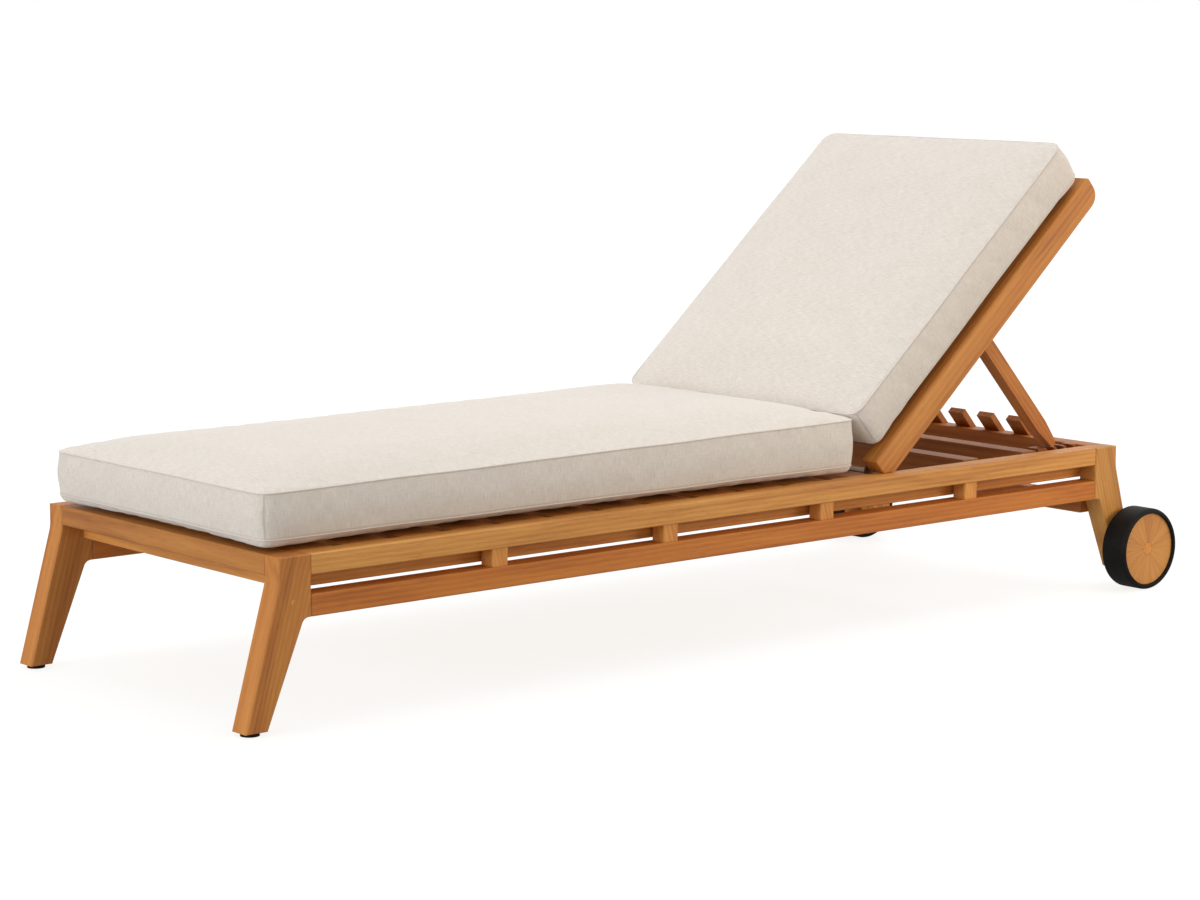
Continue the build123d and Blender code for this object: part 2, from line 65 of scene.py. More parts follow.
cameraData = bpy.data.cameras.new("camera")
cameraData.lens = cameraFit["lens"]
cameraData.sensor_width = cameraFit["sensor"]
camera = bpy.data.objects.new("camera", cameraData)
camera.location = cameraFit["place"]
camera.rotation_euler = (math.radians(cameraFit["tilt"]), 0, math.radians(cameraFit["turn"]))
bpy.context.scene.collection.objects.link(camera)
bpy.context.scene.camera = camera


# small helpers for colours, nodes and objects

def linear(hexText):  # sRGB hex to linear RGBA
    parts = [int(hexText[i:i + 2], 16) / 255 for i in (1, 3, 5)]
    return [c / 12.92 if c <= 0.04045 else ((c + 0.055) / 1.055) ** 2.4 for c in parts] + [1.0]


def toned(hexText, tone):  # a colour times a tint, for a board partly its own tone and partly painted shade and light
    return [a * b for a, b in zip(linear(hexText), linear(tone))]


def fill(tree, node, settings):  # a socket among the settings is linked, an option or a value is set
    for key, value in settings.items():
        if isinstance(value, bpy.types.NodeSocket):
            tree.links.new(value, node.inputs[key])
        elif isinstance(key, str) and hasattr(node, key):
            setattr(node, key, value)
        else:
            node.inputs[key].default_value = value
    return node


def addNode(tree, kind, settings=None):
    return fill(tree, tree.nodes.new(kind), settings or {})


def calc(tree, operation, *values):  # one Math node of numbers and sockets
    return addNode(tree, "ShaderNodeMath", {"operation": operation, **dict(enumerate(values))}).outputs[0]


def stretched(tree, place, scales):
    return addNode(tree, "ShaderNodeVectorMath", {"operation": "MULTIPLY", 0: place, 1: scales}).outputs[0]


def spanned(tree, value, source, target=(0.0, 1.0), curve="LINEAR"):  # a value laid from one span on another
    return addNode(tree, "ShaderNodeMapRange", {
        "interpolation_type": curve, "From Min": source[0], "From Max": source[1],
        "To Min": target[0], "To Max": target[1], "Value": value}).outputs[0]


def noise(tree, place, scale=1.0, detail=2.0, roughness=0.5, distortion=0.0):
    return addNode(tree, "ShaderNodeTexNoise", {
        "Scale": scale, "Detail": detail, "Roughness": roughness, "Distortion": distortion,
        "Vector": place}).outputs["Fac"]


def blended(tree, share, first, second, blend="MIX"):
    return addNode(tree, "ShaderNodeMix", {
        "data_type": "RGBA", "blend_type": blend, "A": first, "B": second, "Factor": share}).outputs["Result"]


def bumped(tree, height, relief, normal=None):  # relief: strength, and its height in mm
    settings = {"Strength": relief[0], "Distance": relief[1] * mm, "Height": height}
    if normal is not None:
        settings["Normal"] = normal
    return addNode(tree, "ShaderNodeBump", settings).outputs[0]


def newMaterial(name):
    material = bpy.data.materials.new(name)
    material.use_nodes = True
    tree = material.node_tree
    return material, tree, tree.nodes["Principled BSDF"]


def newObject(name, data):
    made = bpy.data.objects.new(name, data)
    bpy.context.scene.collection.objects.link(made)
    return made


def setMaterial(nodeName, material):
    mesh = nodes[nodeName].data
    mesh.materials.clear()
    mesh.materials.append(material)


# floor and light

studio = {
    "floor": "#686F75",
    "floorRoughness": 0.9,
    "floorHalf": 30,  # m
    # a glowing table top: its colour, how bright the camera sees it, and how much it throws on the object
    "glow": ("#FFFDFA", 0.86, 0.3),
    "backdrop": ("#FFFFFF", 1.0),  # what the camera sees behind the object
    "sky": ("#FFF8EE", 0.6),  # what lights the object
    "lightAway": 4,  # m, where the soft lights stand
    # name: where it comes from, how wide it is in degrees, strength, colour
    "softLights": {
        "overhead": ((0.3, 0.06, 0.95), 55, 1.4, "#E8F2FF"),
        "behind": ((0.9, 0.7, 0.3), 60, 0.5, "#FFFFFF"),
        "front": ((-1.0, 0.04, 0.2), 50, 2.15, "#F8FAFF"),
    },
    # place, what it points at, width, height, watts, colour
    "sideLamp": ((2.0, -2.3, 1.0), (0.6, -0.3, 0.3), 1.2, 1.0, 28.5, "#FFECD8"),
}


def addLamp(name, kind, place, target, strength, colour):
    lampData = bpy.data.lights.new(name, kind)
    lampData.energy, lampData.color = strength, linear(colour)[:3]
    lamp = newObject(name, lampData)
    lamp.location = place
    lamp.rotation_euler = (Vector(place) - Vector(target)).to_track_quat("Z", "Y").to_euler()
    return lampData


world = bpy.data.worlds.new("studio")
world.use_nodes = True
tree = world.node_tree
sky = tree.nodes["Background"]
sky.inputs["Color"].default_value = linear(studio["sky"][0])
sky.inputs["Strength"].default_value = studio["sky"][1]
backdrop = addNode(tree, "ShaderNodeBackground", {
    "Color": linear(studio["backdrop"][0]), "Strength": studio["backdrop"][1]})
rays = addNode(tree, "ShaderNodeLightPath")
both = addNode(tree, "ShaderNodeMixShader", {
    0: rays.outputs["Is Camera Ray"], 1: sky.outputs[0], 2: backdrop.outputs[0]})
tree.links.new(both.outputs[0], tree.nodes["World Output"].inputs["Surface"])
bpy.context.scene.world = world
bpy.context.scene.view_settings.view_transform = "Standard"

for lampName, (origin, width, strength, colour) in studio["softLights"].items():
    lampPlace = Vector(origin) * studio["lightAway"]
    addLamp(lampName, "SUN", lampPlace, (0, 0, 0), strength, colour).angle = math.radians(width)

lampPlace, target, width, height, watts, colour = studio["sideLamp"]
lampData = addLamp("sideLamp", "AREA", lampPlace, target, watts, colour)
lampData.shape = "RECTANGLE"
lampData.size, lampData.size_y = width, height

far = studio["floorHalf"]
floorMesh = bpy.data.meshes.new("floor")
floorMesh.from_pydata([(-far, -far, 0), (far, -far, 0), (far, far, 0), (-far, far, 0)], [], [(0, 1, 2, 3)])
floor = newObject("floor", floorMesh)
floorPaint, tree, shader = newMaterial("litStudioFloor")
floorRays = addNode(tree, "ShaderNodeLightPath")
glowColour, shown, thrown = studio["glow"]
glow = calc(tree, "MULTIPLY_ADD", floorRays.outputs["Is Camera Ray"], shown - thrown, thrown)
fill(tree, shader, {
    "Base Color": linear(studio["floor"]),
    "Roughness": studio["floorRoughness"],
    "Emission Color": linear(glowColour),
    "Emission Strength": glow,
})
floor.data.materials.append(floorPaint)
print("camera, floor and light ready")


# teak: sawn and planed boards with an oiled, satin surface, so straight brown streaks, fine pores and
# darker ends

teak = {
    "light": "#E6AB5C",
    "middle": "#D29045",
    "dark": "#A4632A",
    "ringWidth": 8.0,  # mm between growth rings
    "ringUnit": 0.314,  # m, the wave texture's own ring width at scale 1
    "ringDistortion": 9.0,
    "ringDetail": (2.0, 0.22, 0.55),
    "bandWidth": 26.0,  # mm, the broad streaks of one board
    "fibreWidth": 2.4,  # mm, real fibres are finer, drawn as wide as they need to show
    "poreWidth": 1.2,  # mm, real pores are about 0.3
    # how much slower each pattern changes along the grain
    "ringStretch": 0.05,
    "bandStretch": 0.08,
    "fibreStretch": 0.04,
    "poreStretch": 0.05,
    # how much each pattern counts in the colour, and the span of their sum that the colours fill
    "ringWeight": 0.13,
    "bandWeight": 0.8,
    "fibreWeight": 0.4,
    "colourSpan": (0.26, 0.94),
    "poreSpan": (0.6, 0.72),
    "poreShade": 0.22,
    "poreTint": "#9A6A3E",
    "endSpan": (0.75, 0.98),  # how squarely a face looks along the grain
    "endShade": 0.2,
    "endTint": "#A8764A",
    "roughness": (0.46, 0.62),
    "relief": (0.3, 0.25),
    "variants": 5,
    "variantStep": 3,
    "logSteps": (1.37, 0.093, 0.071),  # m in the log between variants: along, across, up
    "logStart": (0.11, -0.16),  # m across and up
}
grainTurns = {  # the angles that lay a board's length on X
    "along": (0, 0, 0),
    "across": (0, 0, -90),
    "stile": (0, math.degrees(recline), 0),
    "prop": (0, -math.degrees(propFall), 0),
    "frontLeg": (0, 74.5, 0),
    "rearLeg": (0, 105.5, 0),
}


def grained(tree, place, width, stretch):  # places counted in widths of a pattern, stretched along the grain
    each = 1 / (width * mm)
    return stretched(tree, place, (each * stretch, each, each))


def teakColour(tree, shader, place, tone):  # place: a vector socket with the grain along X, in metres
    # tone tints the colours; for the boards it holds painted shade and light as well as their own tone
    detail, detailScale, detailRoughness = teak["ringDetail"]
    rings = addNode(tree, "ShaderNodeTexWave", {
        "wave_type": "RINGS", "rings_direction": "X", "Scale": teak["ringUnit"] / (teak["ringWidth"] * mm),
        "Distortion": teak["ringDistortion"], "Detail": detail, "Detail Scale": detailScale,
        "Detail Roughness": detailRoughness, "Vector": stretched(tree, place, (teak["ringStretch"], 1, 1))})
    bands = noise(tree, grained(tree, place, teak["bandWidth"], teak["bandStretch"]), distortion=0.5)
    fibres = noise(tree, grained(tree, place, teak["fibreWidth"], teak["fibreStretch"]), 1.0, 3.0, 0.65)
    pores = noise(tree, grained(tree, place, teak["poreWidth"], teak["poreStretch"]), detail=1.0)
    poreMark = spanned(tree, pores, teak["poreSpan"])
    weight = teak["ringWeight"]
    ringShare = calc(tree, "MULTIPLY_ADD", rings.outputs["Fac"], weight, -weight / 2)
    bandShare = calc(tree, "MULTIPLY_ADD", bands, teak["bandWeight"], ringShare)
    mixed = calc(tree, "MULTIPLY_ADD", fibres, teak["fibreWeight"], bandShare)
    ramp = addNode(tree, "ShaderNodeValToRGB", {"Fac": spanned(tree, mixed, teak["colourSpan"])})
    ramp.color_ramp.elements[0].color = toned(teak["dark"], tone)
    ramp.color_ramp.elements[1].color = toned(teak["light"], tone)
    ramp.color_ramp.elements.new(0.5).color = toned(teak["middle"], tone)
    poreShade = calc(tree, "MULTIPLY", poreMark, teak["poreShade"])
    fill(tree, shader, {
        "Roughness": spanned(tree, fibres, (0.0, 1.0), teak["roughness"]),
        "Normal": bumped(tree, calc(tree, "SUBTRACT", fibres, poreMark), teak["relief"]),
        "IOR": 1.5,
        "Specular IOR Level": 0.4,
    })
    return blended(tree, poreShade, ramp.outputs[0], linear(teak["poreTint"]), "MULTIPLY")


def oiledTeak(boardName, grain, toneShadeAndLight, variant):
    name = f"oiledTeak_{boardName}_{variant}"
    if name in bpy.data.materials:
        return bpy.data.materials[name]
    material, tree, shader = newMaterial(name)
    turn = [math.radians(a) for a in grainTurns[grain]]
    # where in the log the board is cut, so that no two variants are alike
    alongLog, acrossLog, upLog = teak["logSteps"]
    startAcross, startUp = teak["logStart"]
    shift = (variant * alongLog,
             startAcross + acrossLog * ((variant * 7) % 5),
             startUp + upLog * ((variant * 5) % 6))
    source = addNode(tree, "ShaderNodeTexCoord")
    place = addNode(tree, "ShaderNodeMapping", {
        "Location": shift, "Rotation": turn, "Vector": source.outputs["Object"]})
    # the board's tint carries painted shade and light as well as its own tone
    colour = teakColour(tree, shader, place.outputs[0], toneShadeAndLight)
    # end grain drinks more oil and goes darker
    facing = addNode(tree, "ShaderNodeMapping", {"Rotation": turn, "Vector": source.outputs["Normal"]})
    parts = addNode(tree, "ShaderNodeSeparateXYZ", {0: facing.outputs[0]})
    endOn = calc(tree, "ABSOLUTE", parts.outputs["X"])
    endShare = spanned(tree, endOn, teak["endSpan"], (0.0, teak["endShade"]))
    shaded = blended(tree, endShare, colour, linear(teak["endTint"]), "MULTIPLY")
    fill(tree, shader, {"Base Color": shaded})
    return material


# how a board's name starts: its grain, and its tint against the palest boards, partly the board's own tone
# and partly painted shade and light
boards = {
    "leg_front": ("frontLeg", "#E2D2BE"),
    "leg_rear": ("rearLeg", "#EAEEE8"),
    "upper_rail": ("along", "#F6F6F2"),
    "lower_rail": ("along", "#E6C696"),
    # painted light: the side ledgers sit in shade under the upper rails and are tinted paler for it
    "side_ledger": ("along", "#FFF6E4"),
    # painted shade: the racks sit deep inside the frame and are tinted darker for it
    "prop_rack": ("along", "#B69F80"),
    "back_stile": ("stile", "#E6D8C2"),
    "prop_arm": ("prop", "#DEC8A6"),
    "foot_apron": ("across", "#D6CABA"),
    # painted shade: the head apron and stretcher are tinted darker for the shade inside the frame
    "head_apron": ("across", "#CEB692"),
    "head_stretcher": ("across", "#D0B48E"),
    "foot_ledger": ("across", "#FFFBF2"),
    # painted shade: the bearers, slats and back bottom rail under the cushions are tinted darker for the
    # shade inside the frame
    "hinge_bearer": ("across", "#BEAB8C"),
    "back_bearers": ("across", "#BEAB8C"),
    "seat_slat": ("across", "#DECCAC"),
    "back_slat": ("across", "#DECCAC"),
    "back_bottom_rail": ("across", "#DECCAC"),
    "back_top_rail": ("across", "#F3E2D5"),
    "prop_spreader": ("across", "#F3DFD2"),
    # painted shade: the head fingers are tinted darker like the head apron
    "head_fingers": ("frontLeg", "#CEB692"),
    "spacer_blocks": ("rearLeg", "#FFF8F0"),
}
for index, nodeName in enumerate(sorted(nodes)):
    start = next((name for name in boards if nodeName.startswith(name)), None)
    if start:
        variant = (index * teak["variantStep"]) % teak["variants"]
        setMaterial(nodeName, oiledTeak(start, *boards[start], variant))
print("teak boards ready")


# wheel discs: teak wedges glued up round the hub, so the grain runs out like rays

wheel = {
    "wedges": 14,
    "wedgeTone": "#F2F6F2",
    "wedgeLog": (0.173, 0.4),  # m in the log between wedges, and where the first is cut
    "evenShare": 0.45,  # how far the wedges' streaks are drawn to one even colour
    "evenColour": "#C58A4C",
    "wedgeShade": 0.2,
    "wedgeTint": "#C79A70",
    "jointWidth": 0.7,  # mm, the dark glue line
    "jointShade": 0.3,
    "plugRadius": 11.5,
    "plugRing": (0.4, 1.2),  # mm out from the plug, its dark rim
    "plugShade": 0.6,
    "plugTone": "#F6EEE6",
    "plugLog": (0.02, 0.01),  # m
    "darkTint": "#8A5C34",
    "discRadius": 67.5,
    "tyreRadius": 77.0,
    "tyreWidth": 56.0,
    "rimRound": 7.5,
    "rimAngles": (90, 76, 62, 48, 34, 20, 8, 0),
    "lip": ((0.1, 3.5), (0.4, 1.2), (1.3, 0.0)),  # mm out from the disc, and in from the tyre's side
    "rings": 128,
}


def wedgeTeak():
    material, tree, shader = newMaterial("oiledTeak_wedges")
    source = addNode(tree, "ShaderNodeTexCoord")
    centred = addNode(tree, "ShaderNodeMapping", {
        "Location": (-axle.x, 0, -axle.z), "Vector": source.outputs["Object"]})
    x, y, z = addNode(tree, "ShaderNodeSeparateXYZ", {0: centred.outputs[0]}).outputs
    wedgeAngle = 2 * math.pi / wheel["wedges"]
    cell = calc(tree, "DIVIDE", calc(tree, "ARCTAN2", z, x), wedgeAngle)
    cellIndex = calc(tree, "FLOOR", cell)
    cellShare = calc(tree, "SUBTRACT", cell, cellIndex)
    offMiddle = calc(tree, "MULTIPLY_ADD", cellShare, wedgeAngle, -wedgeAngle / 2)
    flat = addNode(tree, "ShaderNodeCombineXYZ", {"X": x, "Z": z}).outputs[0]
    radius = addNode(tree, "ShaderNodeVectorMath", {"operation": "LENGTH", 0: flat}).outputs["Value"]
    outward = calc(tree, "MULTIPLY", radius, calc(tree, "COSINE", offMiddle))
    aside = calc(tree, "MULTIPLY", radius, calc(tree, "SINE", offMiddle))
    asideShift = calc(tree, "ADD", aside, calc(tree, "MULTIPLY_ADD", cellIndex, *wheel["wedgeLog"]))
    place = addNode(tree, "ShaderNodeCombineXYZ", {"X": outward, "Y": asideShift, "Z": y})
    streaked = teakColour(tree, shader, place.outputs[0], wheel["wedgeTone"])
    colour = blended(tree, wheel["evenShare"], streaked, linear(wheel["evenColour"]))
    tone = addNode(tree, "ShaderNodeTexWhiteNoise", {"noise_dimensions": "1D", "W": cellIndex})
    toneShare = calc(tree, "MULTIPLY", tone.outputs["Value"], wheel["wedgeShade"])
    wedged = blended(tree, toneShare, colour, linear(wheel["wedgeTint"]), "MULTIPLY")
    # dark glue lines between the wedges, and a dark ring round the plug
    toJoint = calc(tree, "SUBTRACT", wedgeAngle / 2, calc(tree, "ABSOLUTE", offMiddle))
    jointGap = calc(tree, "MULTIPLY", toJoint, radius)
    jointShare = spanned(tree, jointGap, (0.0, wheel["jointWidth"] * mm), (wheel["jointShade"], 0.0))
    fromPlug = calc(tree, "SUBTRACT", radius, wheel["plugRadius"] * mm)
    plugShare = spanned(tree, fromPlug, [v * mm for v in wheel["plugRing"]], (wheel["plugShade"], 0.0))
    darkShare = calc(tree, "MAXIMUM", jointShare, plugShare)
    jointed = blended(tree, darkShare, wedged, linear(wheel["darkTint"]), "MULTIPLY")
    fill(tree, shader, {"Base Color": jointed})
    return material


def plugTeak():  # a cross-cut dowel
    material, tree, shader = newMaterial("oiledTeak_plug")
    source = addNode(tree, "ShaderNodeTexCoord")
    cutX, cutZ = wheel["plugLog"]
    place = addNode(tree, "ShaderNodeMapping", {
        "Location": (cutX, -axle.z, cutZ), "Rotation": (0, 0, math.radians(-90)),
        "Vector": source.outputs["Object"]})
    fill(tree, shader, {"Base Color": teakColour(tree, shader, place.outputs[0], wheel["plugTone"])})
    return material


discWood, plugWood = wedgeTeak(), plugTeak()
for sideName in sideNames:
    setMaterial("wheel_disc_" + sideName, discWood)
    setMaterial("hub_plug_" + sideName, plugWood)
setMaterial("screw_plugs", plugWood)


# tyres and glides: moulded solid rubber, so a matt black with a little dust and a fine grain

rubber = {
    "clean": "#121110",
    "dusty": "#1E1C1A",
    "dustScale": 26.0,  # 1/m
    "dustSpan": (0.4, 0.75),
    "grainScale": 900.0,  # 1/m
    "roughness": (0.5, 0.7),
    "relief": (0.25, 0.2),
}


def mouldedRubber():
    material, tree, shader = newMaterial("mouldedRubber")
    place = addNode(tree, "ShaderNodeTexCoord").outputs["Object"]
    grain = noise(tree, place, rubber["grainScale"])
    dust = noise(tree, place, rubber["dustScale"], 4.0, 0.6)
    dustShare = spanned(tree, dust, rubber["dustSpan"])
    fill(tree, shader, {
        "Base Color": blended(tree, dustShare, linear(rubber["clean"]), linear(rubber["dusty"])),
        "Roughness": spanned(tree, dust, (0.0, 1.0), rubber["roughness"]),
        "Normal": bumped(tree, grain, rubber["relief"]),
        "IOR": 1.52,
        "Specular IOR Level": 0.12,
    })
    return material


def lathe(name, profile, steps, centre, material):  # profile: a closed loop of (radius, y)
    points, faces, count = [], [], len(profile)
    for step in range(steps):
        turn = 2 * math.pi * step / steps
        points += [(centre[0] + r * math.cos(turn), centre[1] + y, centre[2] + r * math.sin(turn))
                   for r, y in profile]
        here, following = step * count, ((step + 1) % steps) * count
        for k in range(count):
            after = (k + 1) % count
            faces.append((here + k, here + after, following + after, following + k))
    mesh = bpy.data.meshes.new(name)
    mesh.from_pydata(points, [], faces)
    mesh.validate()
    mesh.polygons.foreach_set("use_smooth", [True] * len(mesh.polygons))
    mesh.materials.append(material)
    mesh.update()
    return newObject(name, mesh)


def tyreProfile():
    outer, inner, rim = [wheel[k] * mm for k in ("tyreRadius", "discRadius", "rimRound")]
    half = wheel["tyreWidth"] * mm / 2
    loop = []
    for end in (-1, 1):
        corner = [(outer - rim + rim * math.cos(a), end * (half - rim + rim * math.sin(a)))
                  for a in [math.radians(t) for t in wheel["rimAngles"]]]
        lip = [(inner + out * mm, end * (half - back * mm)) for out, back in wheel["lip"]]
        loop += lip + corner if end < 0 else corner[::-1] + lip[::-1]
    return loop


tyreRubber = mouldedRubber()
setMaterial("foot_glides", tyreRubber)
for sideName in sideNames:
    tyreLow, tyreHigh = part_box("wheel_tyre_" + sideName)
    tyre = lathe("tyre_" + sideName, tyreProfile(), wheel["rings"], (tyreLow + tyreHigh) / 2, tyreRubber)
    tyre.data.flip_normals()
    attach(tyre, "wheel_" + sideName)
    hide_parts("wheel_tyre_" + sideName)
print("wheels ready")


# fittings: stainless steel, cut and brushed, so a soft grey with fine scratches

fittings = {
    "steel": "#A9A9A6",
    "scratchScale": (120, 2500, 2500),  # 1/m
    "roughness": (0.24, 0.46),
    "relief": (0.2, 0.05),
    "nodes": ("hinge_brackets", "hinge_pins", "hinge_screws", "prop_bolts", "axle_bolts"),
}


def brushedSteel():
    material, tree, shader = newMaterial("brushedStainless")
    place = addNode(tree, "ShaderNodeTexCoord").outputs["Object"]
    scratches = noise(tree, stretched(tree, place, fittings["scratchScale"]))
    fill(tree, shader, {
        "Roughness": spanned(tree, scratches, (0.0, 1.0), fittings["roughness"]),
        "Normal": bumped(tree, scratches, fittings["relief"]),
        "Base Color": linear(fittings["steel"]),
        "Metallic": 1.0,
    })
    return material


steel = brushedSteel()
for nodeName in fittings["nodes"]:
    setMaterial(nodeName, steel)


# cushion cloth: a plain weave of mixed pale yarns, matt, with sunk seams and painted shade in their creases

cloth = {
    "pale": "#DED7CE",
    "grey": "#C5BCB1",
    "yarn": 1.6,  # mm between threads, real ones are about 1, drawn as coarse as they need to show
    "slubLength": 16.0,  # mm
    # how much each pattern counts in the colour, and the span of their sum that the colours fill
    "weftWeight": 0.65,
    "cloudScale": 16.0,  # 1/m
    "cloudWeight": 0.22,
    "crossWeight": 0.12,
    "colourSpan": (0.58, 1.26),
    # painted shade in the seams' creases: its width, its colour, and its strength on the panels and on the
    # boxing
    "creaseShadeWidth": 1.8,  # mm
    "creaseShadeColour": "#BDA88A",
    "creaseShadeShares": (0.1, 0.42),  # on the panels, and on the boxing between them
    "creaseEdge": 1.0,  # mm, where one share turns into the other
    "lipWidth": 4.5,  # mm, the cloth's roll into a seam
    "weaveRelief": (0.35, 0.35),
    "seamRelief": (0.5, 0.8),
    "stitchFrom": 4.0,  # mm from the lower seam to the topstitched row, about
    "thread": ("#B9AE9F", "#D5CCBE"),
    "twistScale": 700.0,  # 1/m
}


def wovenCloth():
    material, tree, shader = newMaterial("wovenCushionCloth")
    uv = addNode(tree, "ShaderNodeUVMap", {"uv_map": "weave"}).outputs[0]
    yarn, slub = 1 / (cloth["yarn"] * mm), 1 / (cloth["slubLength"] * mm)
    threads = addNode(tree, "ShaderNodeSeparateXYZ", {0: stretched(tree, uv, (yarn, yarn, 1))})
    warp, weft = [calc(tree, "SINE", calc(tree, "MULTIPLY", threads.outputs[axis], math.pi)) for axis in "XY"]
    warpSlubs = noise(tree, stretched(tree, uv, (yarn, slub, 1)))
    weftSlubs = noise(tree, stretched(tree, uv, (slub, yarn, 1)))
    slubs = calc(tree, "MULTIPLY_ADD", weftSlubs, cloth["weftWeight"], warpSlubs)
    clouds = noise(tree, uv, cloth["cloudScale"], 3.0)
    mottle = calc(tree, "MULTIPLY_ADD", clouds, cloth["cloudWeight"], slubs)
    crossed = calc(tree, "MULTIPLY_ADD", calc(tree, "MULTIPLY", warp, weft), cloth["crossWeight"], mottle)
    colourShare = spanned(tree, crossed, cloth["colourSpan"])
    woven = blended(tree, colourShare, linear(cloth["grey"]), linear(cloth["pale"]))
    # painted shade in the crease where two panels meet, stronger on the boxing: the marks say how far a point
    # is from a seam and from a corner
    seamAway, cornerAway = [addNode(tree, "ShaderNodeAttribute", {"attribute_name": mark}).outputs["Fac"]
                            for mark in ("seamAway", "cornerAway")]
    nearest = calc(tree, "MINIMUM", calc(tree, "ABSOLUTE", seamAway), cornerAway)
    crease = spanned(tree, nearest, (0.0, cloth["creaseShadeWidth"] * mm), (1.0, 0.0), "SMOOTHSTEP")
    edge = cloth["creaseEdge"] * mm
    onBoxing = spanned(tree, seamAway, (-edge, edge), cloth["creaseShadeShares"])
    creaseShadeShare = calc(tree, "MULTIPLY", crease, onBoxing)
    lip = spanned(tree, nearest, (0.0, cloth["lipWidth"] * mm), curve="SMOOTHSTEP")
    fill(tree, shader, {
        "Base Color": blended(tree, creaseShadeShare, woven, linear(cloth["creaseShadeColour"]), "MULTIPLY"),
        "Normal": bumped(tree, lip, cloth["seamRelief"], bumped(tree, crossed, cloth["weaveRelief"])),
        "Roughness": 0.92,
        "Sheen Weight": 0.25,
        "Sheen Roughness": 0.5,
        "IOR": 1.45,
    })
    return material


def spunThread():  # the sewing thread, a shade darker than the cloth
    material, tree, shader = newMaterial("spunThread")
    twist = noise(tree, addNode(tree, "ShaderNodeTexCoord").outputs["Object"], cloth["twistScale"], 1.0)
    dark, pale = cloth["thread"]
    fill(tree, shader, {
        "Base Color": blended(tree, twist, linear(dark), linear(pale)),
        "Roughness": 0.8,
    })
    return material


linen, thread = wovenCloth(), spunThread()


# cushions: boxed covers over foam, blown up a little by a cloth simulation that holds their seams

cushion = {
    "cell": 12.5,  # mm, the grid of the cloth
    "nearSeam": (0, 3, 7.5, 14, 22),  # mm, grid lines beside a seam
    "roll": 14.0,  # mm, the turned-under edge below the lower seam
    "underLift": 8.0,  # mm that the edge hovers, so a dark gap shows under it
    "restFrom": 110.0,  # mm in from the edge the cushion rests
    "halfWidth": 311.0,
    "corner": 24.0,  # the cover's corners in plan
    "seamLow": 21.0,
    "seamHigh": 93.0,
    "startCrown": ((5.0, 26.0), (11.0, 150.0)),  # mm up, and the width that takes
    "sideBulge": 2.5,
    "wander": 0.4,  # mm that the seams stray, as sewn ones do
    "wanderLengths": (61, 83, 37),  # mm
    "wanderShare": 0.6,  # how much the shortest of them counts
    "uvApart": 5,  # m in the cloth's map between the boxing and the panels
    "seamCrease": 0.85,  # how sharp the finer mesh keeps a seam
    "cornerClear": 12.0,  # mm, the least that a panel's points count as being from a corner
    "pressure": 4.0,
    "stiffness": {"tension": 15, "shear": 6, "bending": 0.4},
    "mass": 0.3,
    "quality": 6,
    "slack": -0.012,  # the cloth is cut this much larger than the seams hold it
    "cap": 15.0,  # mm, as far as a point may move
    "underMargin": 2.0,  # mm below the lower seam, where the underside begins
    "frames": 20,
}


hair = 1e-6  # mm, less is no distance


def plateau(distance, width):  # 0 at an edge, level from width inwards
    return np.sin(np.clip(distance / width, 0, 1) * math.pi / 2)


def gridLines(length):  # evenly spaced, but closer together beside the seams
    near = cushion["nearSeam"]
    room = length - 2 * near[-1]
    count = round(room / cushion["cell"])
    middle = [near[-1] + room * n / count for n in range(1, count)]
    return np.array([*near, *middle, *[length - v for v in near[::-1]]])


def markPoints(mesh, name, values):
    mesh.attributes.new(name, "FLOAT", "POINT").data.foreach_set("value", np.array(values, np.float32))


